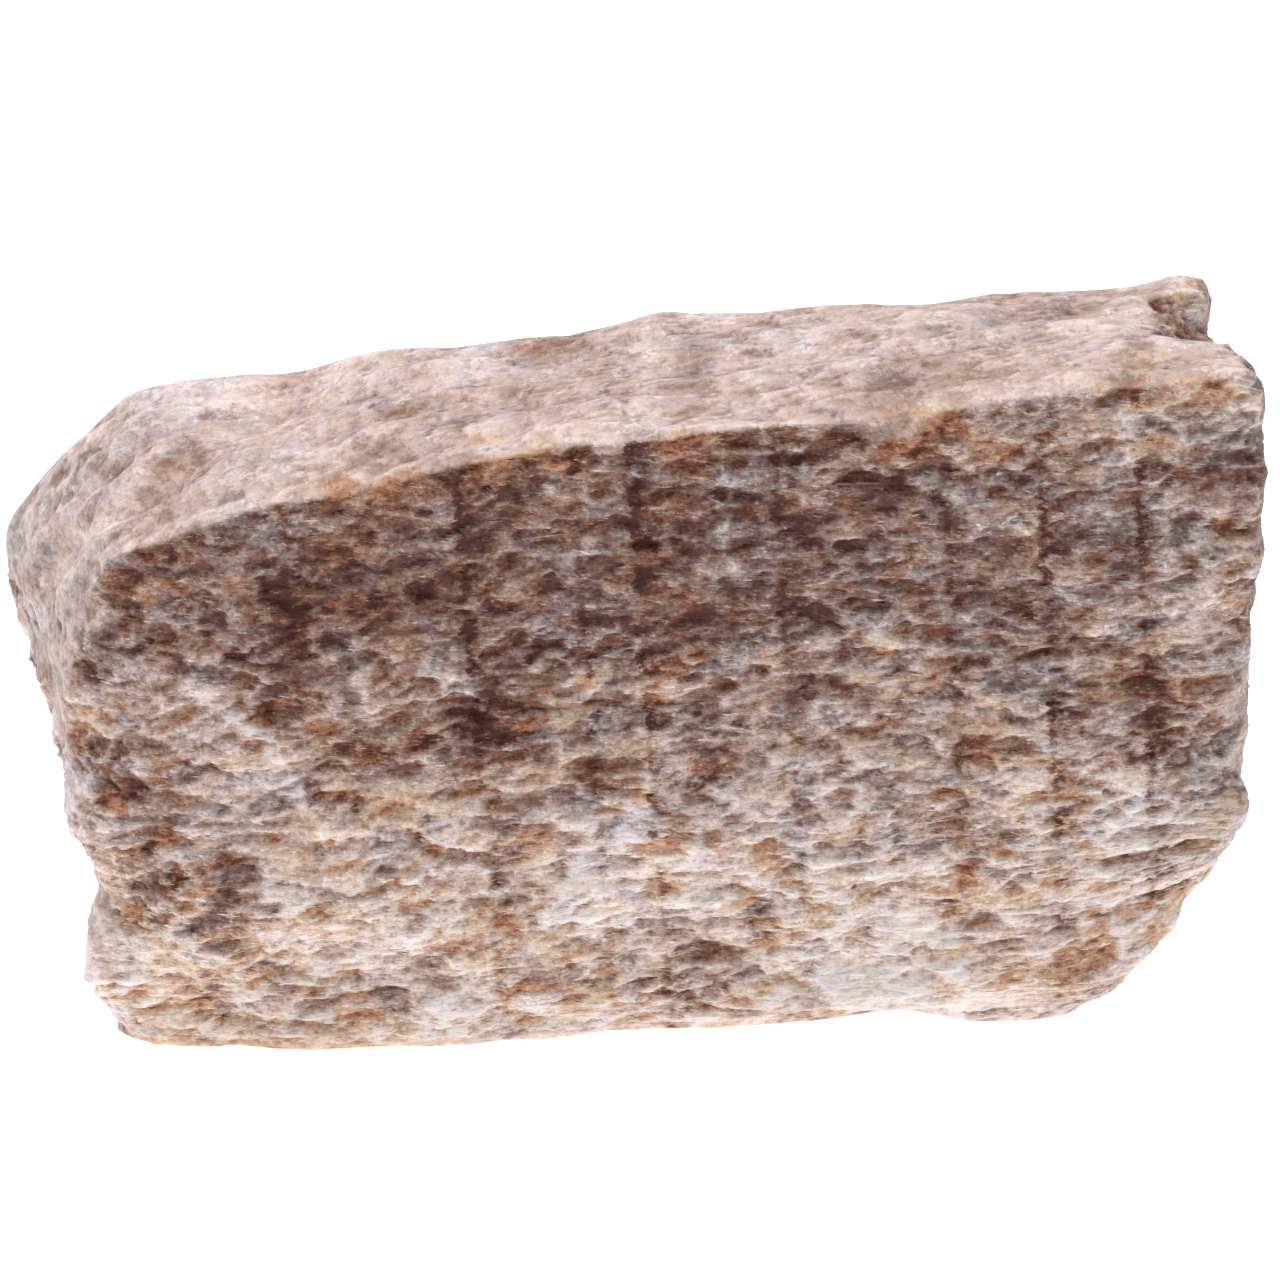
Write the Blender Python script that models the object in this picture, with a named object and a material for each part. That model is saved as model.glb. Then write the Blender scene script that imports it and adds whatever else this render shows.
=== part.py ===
"""A cleaved block of fibrous brown aragonite, grown as one piece and built as one solid.

The block lies along X, with its broad broken side towards -Y and a flat base on z = 0.
Lengths below are in millimetres; the finished mesh is in metres.
"""

from math import radians

import bmesh
import bpy
from mathutils import Matrix, Vector, noise

NODE = "aragonite_block"
MM = 0.001

# Corners of the cleaved block, in mm, before its surface is broken up.
FRONT_RIDGE = [
    (-27.3, -10.8, 22.6),
    (-25.4, -12.2, 26.8),
    (-20.5, -12.8, 29.3),
    (-6.0, -12.8, 32.3),
    (5.0, -12.8, 33.9),
    (19.5, -12.8, 35.3),
    (28.5, -12.5, 36.5),
    (29.5, -11.6, 34.8),
]
FRONT_BELLY = [
    (-27.2, -10.6, 14.0),
    (-27.3, -11.0, 3.8),
    (-18.0, -12.8, 9.0),
    (0.0, -13.0, 14.0),
    (16.0, -13.0, 15.0),
    (29.6, -12.0, 13.5),
    (27.6, -11.0, 9.6),
    (24.4, -10.2, 4.2),
]
BACK_EDGE = [
    (-31.8, 5.0, 22.5),
    (-29.8, 6.0, 25.2),
    (-25.8, 6.8, 29.2),
    (-19.0, 7.2, 30.1),
    (-8.5, 7.0, 31.5),
    (3.0, 7.0, 32.5),
    (18.0, 7.0, 34.0),
    (27.6, 6.5, 35.0),
    (28.4, 5.5, 33.0),
]
BACK_BELLY = [
    (-27.5, 8.5, 12.0),
    (-10.0, 10.5, 16.0),
    (10.0, 10.5, 15.0),
    (27.5, 9.0, 14.0),
]
LEFT_END = [
    (-32.2, 4.0, 20.5),
    (-30.6, 5.0, 14.0),
    (-28.0, 5.0, 8.0),
]
# The foot, in x and y. It runs a little below the base, which is then cut flat.
FOOT = [
    (-25.5, -8.8),
    (-19.5, -9.8),
    (-12.5, -9.8),
    (0.0, -7.6),
    (21.0, -5.6),
    (23.0, 3.0),
    (20.0, 9.0),
    (0.0, 9.8),
    (-20.0, 9.2),
    (-24.5, 4.0),
]
FOOT_DEPTH = 1.0

# The crisp edge climbs the front's left corner and runs along its top.
CREST = FRONT_BELLY[:1] + FRONT_RIDGE
CREST_REACH = 1.5
CREST_PULL = 0.7

# Broken places: start, end, radius, depth. A negative depth is a swelling.
HOLLOWS = [
    # smooth valley behind the ridge's left end
    ((-28.5, -4.5, 23.5), (-23.5, -6.5, 27.2), 3.4, 1.3),
    ((-23.5, -6.5, 27.6), (-16.5, 2.5, 29.8), 3.4, 1.0),
    # knob left standing at the top's far right corner
    ((27.0, 5.4, 34.8), (27.6, 5.8, 34.8), 2.6, -0.45),
    # bites out of the ridge and the front's two side edges
    ((9.0, -12.5, 34.2), (11.5, -12.5, 34.4), 2.0, 0.9),
    ((-29.0, -9.0, 9.3), (-25.0, -12.0, 9.0), 2.4, 0.6),
    ((27.0, -11.5, 7.0), (24.5, -12.0, 7.5), 1.8, 0.6),
    # broad scoops of the front, the two ends and the foot
    ((-6.0, -13.0, 24.0), (14.0, -13.0, 22.0), 8.0, 0.7),
    ((30.0, -12.0, 23.0), (30.0, -11.0, 17.0), 5.0, 0.8),
    ((-30.5, 0.5, 12.5), (-29.0, -6.0, 9.0), 6.2, 2.1),
    ((-6.5, -9.5, 0.5), (13.0, -6.8, 0.5), 3.4, 1.1),
]

# Flat chips knocked off: a point on the new face, the way it faces, and its reach.
CHIPS = [
    # off the top's right end, in front of the knob
    ((27.9, -1.4, 33.4), (0.42, 0.1, 0.9), 4.8),
    # off the far side: its right corner, its upper middle and its left foot
    ((26.2, 8.2, 19.0), (0.75, 0.65, 0.1), 9.0),
    ((-6.0, 9.0, 24.0), (0.15, 0.95, 0.25), 8.0),
    ((-24.5, 7.6, 5.0), (-0.55, 0.8, -0.2), 7.5),
]

# The fibres run along X and climb a little towards +X. Turned by GRAIN, they lie level.
GRAIN_CLIMB = radians(8.0)
GRAIN = Matrix.Rotation(GRAIN_CLIMB, 4, "Y") @ Matrix.Rotation(GRAIN_CLIMB, 4, "X")

# Cells of the mesh, which are drawn out along the fibres.
CELL = 1.05
CELL_DRAW = 1.8
CELL_SHUFFLE = 0.42
HALF_WAY = 0.5
FOLD_ANGLE = radians(100.0)
UNFOLD_ROUNDS = 12
BASE_SNAP = 0.08

# Relief of the broken surface: broad swells, lens-shaped ends of fibre bundles, and pits.
SWELL_SIZE = 9.0
SWELL_HEIGHT = 0.5
LENS_SIZE = 2.9
LENS_DRAW = 2.1
LENS_HEIGHT = 1.0
LENS_RIM = 0.52
PIT_SIZE = 4.2
PIT_START = 0.3
PIT_DEPTH = 1.0
PIT_SHIFT = Vector((7.1, 3.3, 5.7))

STONE_COLOUR = (0.33, 0.22, 0.16, 1.0)
STONE_ROUGHNESS = 0.62


def clear_scene():
    for old in list(bpy.data.objects):
        bpy.data.objects.remove(old, do_unlink=True)


def soften(bm, verts):
    bmesh.ops.smooth_vert(bm, verts=verts, factor=HALF_WAY, use_axis_x=True, use_axis_y=True, use_axis_z=True)


def smooth_fall(reach):
    """1 at the middle of a feature and 0 at its rim, with no crease at either."""
    if reach >= 1.0:
        return 0.0
    return (1.0 - reach * reach) ** 2


def toward_segment(point, start, end):
    """The step from a point to the nearest place on the line between start and end."""
    first = Vector(start)
    run = Vector(end) - first
    along = (point - first).dot(run) / run.length_squared
    return first + run * max(0.0, min(1.0, along)) - point


def cleaved_hull():
    """The block when it had only cleaved: flat faces between its corners."""
    foot = [(x, y, -FOOT_DEPTH) for x, y in FOOT]
    bm = bmesh.new()
    for group in (FRONT_RIDGE, FRONT_BELLY, BACK_EDGE, BACK_BELLY, LEFT_END, foot):
        for corner in group:
            bm.verts.new(corner)
    hull = bmesh.ops.convex_hull(bm, input=bm.verts, use_existing_faces=False)
    inside = set(hull["geom_interior"] + hull["geom_unused"])
    bmesh.ops.delete(bm, geom=[vert for vert in bm.verts if vert in inside], context="VERTS")
    return bm


def even_cells(bm):
    """The same shape in even cells, by a voxel remesh."""
    mesh = bpy.data.meshes.new("cleaved")
    bm.to_mesh(mesh)
    bm.free()
    carrier = bpy.data.objects.new("cleaved", mesh)
    bpy.context.scene.collection.objects.link(carrier)
    remesh = carrier.modifiers.new("cells", "REMESH")
    remesh.mode = "VOXEL"
    remesh.voxel_size = CELL
    graph = bpy.context.evaluated_depsgraph_get()
    even = bpy.data.meshes.new_from_object(carrier.evaluated_get(graph))
    bpy.data.objects.remove(carrier, do_unlink=True)
    cells = bmesh.new()
    cells.from_mesh(even)
    return cells


def grained_cells(bm):
    """Cells drawn out along the fibres: the block is remeshed squeezed along them, then drawn back."""
    squeeze = Matrix.Diagonal((1.0 / CELL_DRAW, 1.0, 1.0, 1.0)) @ GRAIN
    bmesh.ops.transform(bm, matrix=squeeze, verts=bm.verts)
    cells = even_cells(bm)
    bmesh.ops.transform(cells, matrix=squeeze.inverted(), verts=cells.verts)
    soften(cells, cells.verts)
    return cells


def shuffle_cells(bm):
    """Slides the vertices about on the faces, so that the cells stand in no rows."""
    bm.normal_update()
    for vert in bm.verts:
        slide = noise.noise_vector(vert.co / CELL_SHUFFLE) * CELL_SHUFFLE
        vert.co += slide - vert.normal * slide.dot(vert.normal)


def sharpen_crest(bm):
    """Draws the cells beside the crest up to it, where the cleavage left a crisp edge."""
    for vert in bm.verts:
        steps = [toward_segment(vert.co, start, end) for start, end in zip(CREST, CREST[1:])]
        nearest = min(steps, key=lambda step: step.length)
        vert.co += nearest * CREST_PULL * smooth_fall(nearest.length / CREST_REACH)


def knock_chips(bm):
    """Lays the cells that stand proud of a chip's plane down on it."""
    for middle, facing, reach in CHIPS:
        normal = Vector(facing).normalized()
        for vert in bm.verts:
            away = vert.co - Vector(middle)
            proud = away.dot(normal)
            if proud > 0.0 and away.length < reach:
                vert.co -= normal * proud


def hollow_depth(point):
    depth = 0.0
    for start, end, radius, deep in HOLLOWS:
        depth += deep * smooth_fall(toward_segment(point, start, end).length / radius)
    return depth


def relief(point):
    """Height of the broken surface over the smooth block."""
    swell = noise.noise(point / SWELL_SIZE)
    drawn = GRAIN @ point / LENS_SIZE
    drawn.x /= LENS_DRAW
    lens = LENS_RIM - noise.voronoi(drawn)[0][0]
    pit = max(0.0, noise.noise(point / PIT_SIZE + PIT_SHIFT) - PIT_START)
    return swell * SWELL_HEIGHT + lens * LENS_HEIGHT - pit * PIT_DEPTH


def break_surface(bm):
    bm.normal_update()
    moves = [vert.normal * (relief(vert.co) - hollow_depth(vert.co)) for vert in bm.verts]
    for vert, move in zip(bm.verts, moves):
        vert.co += move


def unfold(bm):
    """Relaxes the few cells that the relief has turned over each other."""
    bmesh.ops.triangulate(bm, faces=bm.faces)
    for _ in range(UNFOLD_ROUNDS):
        bm.normal_update()
        folded = [edge for edge in bm.edges if edge.calc_face_angle() > FOLD_ANGLE]
        if not folded:
            break
        soften(bm, list({vert for edge in folded for vert in edge.verts}))


def cut_base(bm):
    """Cuts the underside flat at z = 0, and closes it as one face."""
    whole = bm.verts[:] + bm.edges[:] + bm.faces[:]
    up = (0, 0, 1)
    bmesh.ops.bisect_plane(bm, geom=whole, dist=BASE_SNAP, plane_co=(0, 0, 0), plane_no=up, clear_inner=True)
    rim = [edge for edge in bm.edges if edge.is_boundary]
    for edge in rim:
        for vert in edge.verts:
            vert.co.z = 0.0
    bmesh.ops.edgeloop_fill(bm, edges=rim)
    bmesh.ops.recalc_face_normals(bm, faces=bm.faces)


def centre_on_base(bm):
    """Puts the middle of the block's box over the origin, and turns millimetres into metres."""
    xs = [vert.co.x for vert in bm.verts]
    ys = [vert.co.y for vert in bm.verts]
    middle = Vector(((min(xs) + max(xs)) / 2, (min(ys) + max(ys)) / 2, 0.0))
    bmesh.ops.translate(bm, verts=bm.verts, vec=-middle)
    bmesh.ops.scale(bm, verts=bm.verts, vec=(MM, MM, MM))


def aragonite_material():
    material = bpy.data.materials.new("aragonite")
    material.use_nodes = True
    shader = material.node_tree.nodes["Principled BSDF"]
    shader.inputs["Base Color"].default_value = STONE_COLOUR
    shader.inputs["Roughness"].default_value = STONE_ROUGHNESS
    shader.inputs["Metallic"].default_value = 0.0
    return material


def build_block():
    bm = grained_cells(cleaved_hull())
    shuffle_cells(bm)
    sharpen_crest(bm)
    knock_chips(bm)
    break_surface(bm)
    unfold(bm)
    cut_base(bm)
    centre_on_base(bm)
    mesh = bpy.data.meshes.new(NODE)
    bm.to_mesh(mesh)
    bm.free()
    mesh.materials.append(aragonite_material())
    bpy.context.scene.collection.objects.link(bpy.data.objects.new(NODE, mesh))


clear_scene()
build_block()
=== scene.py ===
"""Dresses a block of fibrous aragonite: its broken surface, its loose fibres, its colours and its studio."""

import math
from types import SimpleNamespace
from typing import NamedTuple

import bmesh
import bpy
import numpy as np
from mathutils import Matrix, Vector, noise


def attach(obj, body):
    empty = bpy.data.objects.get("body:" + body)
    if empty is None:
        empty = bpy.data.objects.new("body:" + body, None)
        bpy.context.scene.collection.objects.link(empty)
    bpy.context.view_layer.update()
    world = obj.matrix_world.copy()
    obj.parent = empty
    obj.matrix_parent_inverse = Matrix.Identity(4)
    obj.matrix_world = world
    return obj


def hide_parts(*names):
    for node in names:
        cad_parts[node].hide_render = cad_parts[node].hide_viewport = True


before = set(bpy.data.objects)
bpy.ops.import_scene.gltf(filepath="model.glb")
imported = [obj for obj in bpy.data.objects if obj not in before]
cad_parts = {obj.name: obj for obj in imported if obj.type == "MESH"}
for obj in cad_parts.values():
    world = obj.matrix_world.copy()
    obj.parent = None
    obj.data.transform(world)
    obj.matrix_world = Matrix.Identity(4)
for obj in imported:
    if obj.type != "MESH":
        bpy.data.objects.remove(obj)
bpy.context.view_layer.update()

bl_info = {
    "name": "Fibrous aragonite block",
    "version": (1, 0, 0),
    "blender": (4, 5, 0),
    "location": "View3D > Sidebar > Aragonite",
    "description": "Builds the broken surface, the loose fibres and the studio of an aragonite block",
    "category": "Object",
}

MM = 0.001
NODE = "aragonite_block"
MATERIAL = "fibrous_aragonite"
FIELDS = ("level", "warmth", "bands", "grit")

# The fibres run along X and sink a little towards +X under the crest: millimetres of height, and the
# climb there in millimetres per millimetre.
CLIMB_HEIGHTS = (4.0, 30.0)
CLIMB_SLOPES = (0.01, -0.06)

# Past this place along X the fibres of the lower half turn upwards: millimetres along X, heights in
# millimetres where the turn starts and is full, and the climb that each millimetre adds.
TURN_START = 17.0
TURN_HEIGHTS = (15.0, 9.0)
TURN_CLIMB = 0.042

# Patches reach further into the block than across its layers.
DEPTH_SHARE = 0.5

# Directions that a face can look in. The front looks towards -Y.
LEFT = (-1.0, 0.0, 0.0)
RIGHT = (1.0, 0.0, 0.0)
FRONT = (0.0, -1.0, 0.0)
BACK = (0.0, 1.0, 0.0)
UP = (0.0, 0.0, 1.0)
DOWN = (0.0, 0.0, -1.0)

# Sides of the stone: a direction, and how squarely a face looks that way where the side starts and where
# it counts in full. The clean break is the top, the left end and the valley between them.
CLEAN_BREAK = ((-0.6, 0.0, 0.8), 0.4, 0.56)
CALM_RIGHT = (RIGHT, 0.45, 0.85)
CALM_BASE = (DOWN, 0.5, 0.85)
TONED_FRONT = (FRONT, 0.1, 0.5)
TONED_LEFT = (LEFT, 0.3, 0.7)
RUSTY_FRONT = (FRONT, 0.0, 0.35)
WARM_FRONT = (FRONT, 0.2, 0.6)
COLD_LEFT = (LEFT, 0.4, 0.8)
FRONT_FIBRES = (FRONT, 0.2, 0.5)
TOP_FIBRES = (UP, 0.35, 0.6)
OFF_FRONT = (FRONT, 0.5, 0.2)
BACK_FIBRES = (BACK, 0.3, 0.6)

# The same for the two ends together: where loose fibres lie on them, and where fibres are shorter. Then
# how squarely a face looks to the front where the crest's height is taken from it.
END_FIBRES = (0.5, 0.8)
END_SHORT = (0.5, 0.9)
CREST_FACING = 0.5

# The axes that patches of the front and of the top are laid out on.
FRONT_AXES = (0, 2)
TOP_AXES = (0, 1)

# How many times longer than high the surface's mesh cells are, and the height in millimetres from which
# they are softened, so that the base stays flat.
CELL_DRAW = 2.0
SOFT_FROM = 0.3

# Soft noise: size along the fibres and across them in millimetres, and a shift that sets it apart.
BROAD_NOISE = (8.0, 4.0, 3.0)
MIDDLE_NOISE = (2.5, 1.6, 13.0)
SMALL_NOISE = (1.1, 0.72, 23.0)
FIBRE_NOISE = (1.1, 0.32, 5.0)
CONTRAST_NOISE = (4.5, 2.8, 91.0)
WARMTH_NOISE = (4.0, 2.0, 41.0)

# Where there are ledges, bands and pale rims: a soft noise, and its values where they start and are full.
LEDGE_PLACES = ((12.0, 5.0, 31.0), (-0.25, 0.3))
BAND_PLACES = ((3.2, 1.1, 71.0), (-0.35, 0.20))
RIM_PLACES = ((3.0, 3.0, 101.0), (-0.35, 0.35))

# Factors that spread the cells' numbers, so that their chances look random.
CELL_SPREAD = 7.31
CHANCE_SPREAD = 97.0

# How the middle and the small noise bend the lenses, in millimetres along, across and in depth.
MIDDLE_BEND = (0.9, 0.45, 0.25)
SMALL_BEND = (0.5, 0.35, 0.0)

# Broken layers: the share of a layer that is its lip, how far the noise shifts the layers, and the
# middle noise's part in that.
LIP_SHARE = 0.16
LEDGE_DRIFT = 1.4
MIDDLE_PART = 0.5

# Pits: cells as in the soft noise, closeness to the border where a pit starts and is full, and the
# chance above which a cell is a pit.
PIT_CELLS = (4.2, 1.5, 53.0)
PIT_EDGE = (0.25, 0.7)
PIT_CHANCE = 0.86


class Lens(NamedTuple):
    """One size of lens-shaped grain."""

    length: float  # against the usual lens
    height: float  # against the usual lens
    shift: float  # sets its cells apart
    edge: tuple  # closeness to the border where the lens starts and is full
    depth: tuple  # chances at which a lens is level and fully sunk
    darker: float  # how much darker a sunk one is
    warmer: float  # how far its warmth varies
    turn: float  # gives its warmth a chance of its own


LENSES = {
    "usual": Lens(1.0, 1.0, 0.0, (0.03, 0.20), (1.0, 0.15), 0.21, 0.9, 3.7),
    "fine": Lens(0.46, 0.46, 7.0, (0.04, 0.34), (0.8, 0.2), 0.15, 0.5, 5.1),
    "broad": Lens(2.1, 1.9, 17.0, (0.04, 0.25), (0.75, 0.1), 0.13, 0.35, 2.9),
}

# Relief: the ledges' share of their full height everywhere, the fine lenses' relief against the usual
# ones', how sunk a lens is that stays level, the small noise's height in millimetres, and the heights above
# the base where the relief starts and is full.
LEDGE_BASE = 0.45
FINE_RELIEF = 0.5
LEVEL_DEPTH = 0.4
SMALL_RELIEF = 0.10
RELIEF_HEIGHTS = (0.0, 1.2)

# What the clean break, the right end and the knob lose of the relief.
CLEAN_CALM = 0.78
RIGHT_CALM = 0.65
KNOB_CALM = 0.6

# Zones by height: millimetres above the base where each starts and is full, and its strength.
TALL_LEDGES = (22.0, 10.0, 0.4)
# Paler stone low down, with painted bounce light from the floor on top of it.
PALE_AND_BOUNCE_LOW = (17.0, 9.0, 0.13)
# Painted glow of light from below along the foot of the stone.
PAINTED_FOOT_GLOW = (4.0, 0.5, 0.05)
# Painted shade high on the rough break, where the floor's light reaches less.
PAINTED_SHADE_HIGH = (18.0, 26.0, -0.22)
PATCHY_LOW = (16.0, 8.0, 0.20)
EVEN_HIGH = (17.0, 26.0, -0.10)
WARM_LOW = (17.0, 7.0, 0.22)
COLD_HIGH = (17.0, 25.0, -0.18)
BANDS_HIGH = (8.0, 18.0, 0.5)

# The level goes from 0, darkest, to 1, palest: the middle of the stone, what the noises change, the painted
# highlight on the ledges' lips and painted shade at their feet, what the pits change, what is given back for
# all the hollows, and where and how much the darkest are lifted.
MIDDLE_LEVEL = 0.70
BROAD_TONE = 0.13
MIDDLE_TONE = 0.12
SMALL_TONE = 0.13
LEDGE_LIGHT_AND_SHADE = 0.10
PIT_TONE = 0.18
HOLLOWS_BACK = 0.07
DARK_FROM = 0.34
DARK_SHARE = 0.85

# How far contrast and warmth vary, and what the clean break loses of contrast, of the painted highlight and
# shade on the ledges, of warmth, bands and grit.
CONTRAST_SPREAD = 0.5
WARMTH_SPREAD = 0.25
CLEAN_CONTRAST = 0.28
CLEAN_LIPS = 0.7
CLEAN_WARMTH = 0.45
CLEAN_BANDS = 0.88
CLEAN_GRIT = 0.35

# Tone and warmth of the clean break, of its right half (from and to along X, in millimetres), of the left
# end and of the knob, with the knob's reaches in millimetres.
CLEAN_TONE = 0.02
CLEAN_RIGHT = (-5.0, 15.0)
CLEAN_RIGHT_TONE = 0.05
LEFT_TONE = -0.04
KNOB_TONE = -0.04
KNOB_REACH = 3.5
CLEAN_COLD = -0.14
LEFT_COLD = -0.18
KNOB_WARM = 0.60
KNOB_WARM_REACH = 4.0

# Painted highlights on lips, edges and rims that stand out from a softened copy of the stone, and for lips
# and
# edges painted shade in its hollows: rounds of softening, and the millimetres at which they are palest.
LIPS = (3, 0.04)
EDGES = (24, 0.35)
RIMS = (10, 0.15)

# One splinter: how much thinner it gets towards one end, and its length between the points at both ends,
# as shares of its full thickness and length.
SPLINTER_TAPER = 0.8
SPLINTER_BODY = 0.45

# Loose fibres: how flat they lie, how far they tilt, how their sizes vary, how uneven their corners are,
# the share of their thickness that is sunk, how much shorter they are on the ends, how their size and
# their paleness follow the grit, how their paleness varies, and the least heights in millimetres above the
# base of a fibre's middle and of its corners.
LAID_FLAT = 0.85
TILT = 0.05
LENGTH_SPREAD = 0.4
WIDTH_SPREAD = 0.35
THICKNESS_SPREAD = 0.3
UNEVEN = 0.2
SUNK_SHARE = 0.25
END_SHORTER = 0.6
GRIT_SIZE = 2.0
GRIT_PALENESS = 2.2
PALENESS_SPREAD = 0.07
FIBRE_FROM = 0.35
CORNER_FROM = 0.02

# The border between the front's low and high fibres rises by this much for each millimetre along X.
FRONT_SPLIT_RISE = 0.1

# Fine noise in the material: size along the fibres and across them in millimetres, shift, detail and
# roughness.
STREAK_NOISE = (0.32, 0.12, 40.0, 4.0, 0.7)
LUMP_NOISE = (0.40, 0.32, 12.0, 4.0, 0.78)
RAGGED_NOISE = (5.0, 0.45, 60.0, 1.0, 0.5)

# Fine shingles of broken fibres lie over each other: millimetres from one to the next, and how many
# shingles the lumps shift them by.
SHINGLE_GAP = 0.45
SHINGLE_SHIFT = 3.0

# Colours from dark to pale: place on the scaled level, and the colour's name in the settings.
LEVEL_SCALE = 0.85
PLAIN_RAMP = (
    (0.00, "soot"),
    (0.14, "maroon"),
    (0.29, "brown"),
    (0.44, "tan"),
    (0.60, "beige"),
    (0.79, "cream"),
    (0.98, "chalk"),
)
WARM_RAMP = (
    (0.00, "soot"),
    (0.17, "maroon"),
    (0.34, "amber"),
    (0.57, "honey"),
    (0.79, "straw"),
    (0.98, "chalk"),
)
COLD_RAMP = (
    (0.00, "soot"),
    (0.21, "plum"),
    (0.44, "grey"),
    (0.63, "mist"),
    (0.83, "frost"),
)

# Warmth at which the warm and the cold colours start and are full, and how far the streaks change it.
# Then the streaks' values for the smoothest and the roughest fibres, and how rough these are.
WARM_RANGE = (0.12, 0.50)
COLD_RANGE = (-0.12, -0.50)
STREAK_WARMTH = 1.2
ROUGHNESS = (0.3, 0.7, 0.42, 0.62)

# Growth bands that cross the fibres, sharp towards -X and fading towards +X: place along X halfway up
# the block, fading length, both in millimetres, and strength.
BAND_HEIGHT = 20.0
BAND_LEAN = -0.07
BANDS = (
    (-15.2, 1.3, 0.5),
    (-6.9, 1.9, 0.8),
    (-1.5, 0.6, 0.6),
    (1.2, 1.7, 1.0),
    (8.0, 1.8, 0.5),
    (15.9, 1.2, 0.5),
    (20.4, 1.3, 0.7),
    (25.0, 1.6, 0.8),
)

# Across a band, in millimetres past its place: where it starts and is full, where its core fades, and
# where its tail starts to; the core's and the tail's strengths against the band's.
BAND_START = (-0.08, 0.04)
BAND_CORE = (0.15, 0.5)
BAND_TAIL = 0.1
CORE_STRENGTH = 0.6
TAIL_STRENGTH = 0.7

# Millimetres by which lumps, streaks and ragged layers shift the bands, and the shift that evens it out.
BAND_LUMPS = 1.3
BAND_STREAKS = 0.7
BAND_RAGGED = 1.0
BAND_SHIFT = -1.0

# Darker and paler zones of the broad front, one of them a painted reflection: place along X and above the
# base, reach on both, all in millimetres, and how much paler (or darker, below zero) the stone is there.
FRONT_TONES_AND_REFLECTION = (
    (-8.5, 25.5, 8.0, 4.0, -0.17),
    (-5.5, 19.5, 4.0, 3.0, -0.08),
    (3.5, 27.5, 5.5, 5.0, -0.15),
    (-16.0, 26.0, 8.0, 2.5, -0.10),
    (-22.8, 24.0, 3.5, 3.5, -0.06),
    (-15.4, 21.5, 1.6, 2.6, -0.22),
    (12.1, 30.5, 1.5, 1.0, -0.35),
    (8.7, 29.0, 1.3, 1.0, -0.25),
    (24.6, 19.3, 3.0, 2.0, -0.20),
    (24.5, 29.5, 2.5, 1.5, 0.08),
    (27.0, 31.4, 1.6, 1.0, -0.22),
    (-0.8, 15.9, 1.3, 0.9, -0.38),
    (-5.0, 18.8, 1.9, 1.4, -0.36),
    (-24.1, 16.5, 1.6, 0.8, -0.25),
    (-21.7, 9.8, 2.6, 0.6, -0.25),
    (-4.5, 12.5, 1.2, 2.2, -0.20),
    (-3.8, 4.9, 1.4, 1.1, -0.28),
    (16.0, 8.3, 0.8, 0.6, -0.30),
    (25.4, 7.6, 2.0, 1.2, 0.28),
    (22.3, 4.3, 1.8, 0.8, -0.22),
    (-15.5, 5.0, 2.0, 0.7, -0.15),
    (3.5, 14.0, 2.0, 1.6, -0.10),
    (13.5, 22.0, 2.5, 2.0, 0.12),
    (25.0, 34.0, 6.0, 2.4, 0.24),
    (3.8, 33.0, 2.0, 1.2, -0.16),
    (1.5, 9.0, 5.0, 2.6, 0.12),
    # Painted reflection of the pale surroundings on the low right of the front, where it curves under.
    (13.5, 3.4, 4.2, 2.2, 0.40),
    (-11.5, 32.2, 3.0, 1.0, 0.22),
    (-21.5, 29.2, 2.2, 1.6, -0.20),
    (-19.8, 25.5, 2.4, 1.3, 0.26),
    (-1.7, 26.8, 1.3, 1.8, 0.15),
    (2.6, 23.4, 2.4, 1.6, -0.22),
    (28.6, 33.4, 1.6, 1.8, 0.15),
    (27.4, 26.0, 2.4, 2.8, 0.18),
    (18.4, 31.0, 1.8, 2.0, -0.14),
    (-11.2, 18.8, 2.8, 2.4, -0.30),
    (-25.5, 21.0, 1.6, 1.2, -0.15),
    (17.2, 17.6, 2.6, 2.2, -0.18),
    (-22.4, 14.4, 2.8, 1.5, -0.30),
    (-18.8, 9.8, 2.6, 3.6, -0.22),
    (25.3, 13.8, 3.2, 1.8, 0.17),
    (15.0, 6.8, 2.2, 1.4, 0.16),
    (-11.9, 3.3, 1.8, 1.2, -0.26),
)

# Warmer and colder zones of the front, laid out in the same way.
FRONT_WARMTH = (
    (10.0, 28.9, 5.0, 5.0, -0.16),
    (-8.4, 20.4, 4.5, 2.2, -0.16),
    (8.5, 13.0, 8.5, 2.2, -0.20),
    (-14.0, 32.0, 4.5, 1.6, -0.18),
    (-25.0, 29.0, 2.5, 2.5, -0.12),
    (-18.0, 3.0, 9.0, 1.8, 0.16),
    (23.0, 34.0, 7.0, 1.8, 0.24),
    (25.5, 23.0, 2.5, 2.0, 0.18),
)

# Warmer zones of the top: place along X and in depth, reach on both, and the change.
TOP_WARMTH = (
    (19.0, -10.0, 9.0, 3.0, 0.34),
    (-6.0, -9.0, 9.0, 1.5, 0.20),
)

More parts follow.
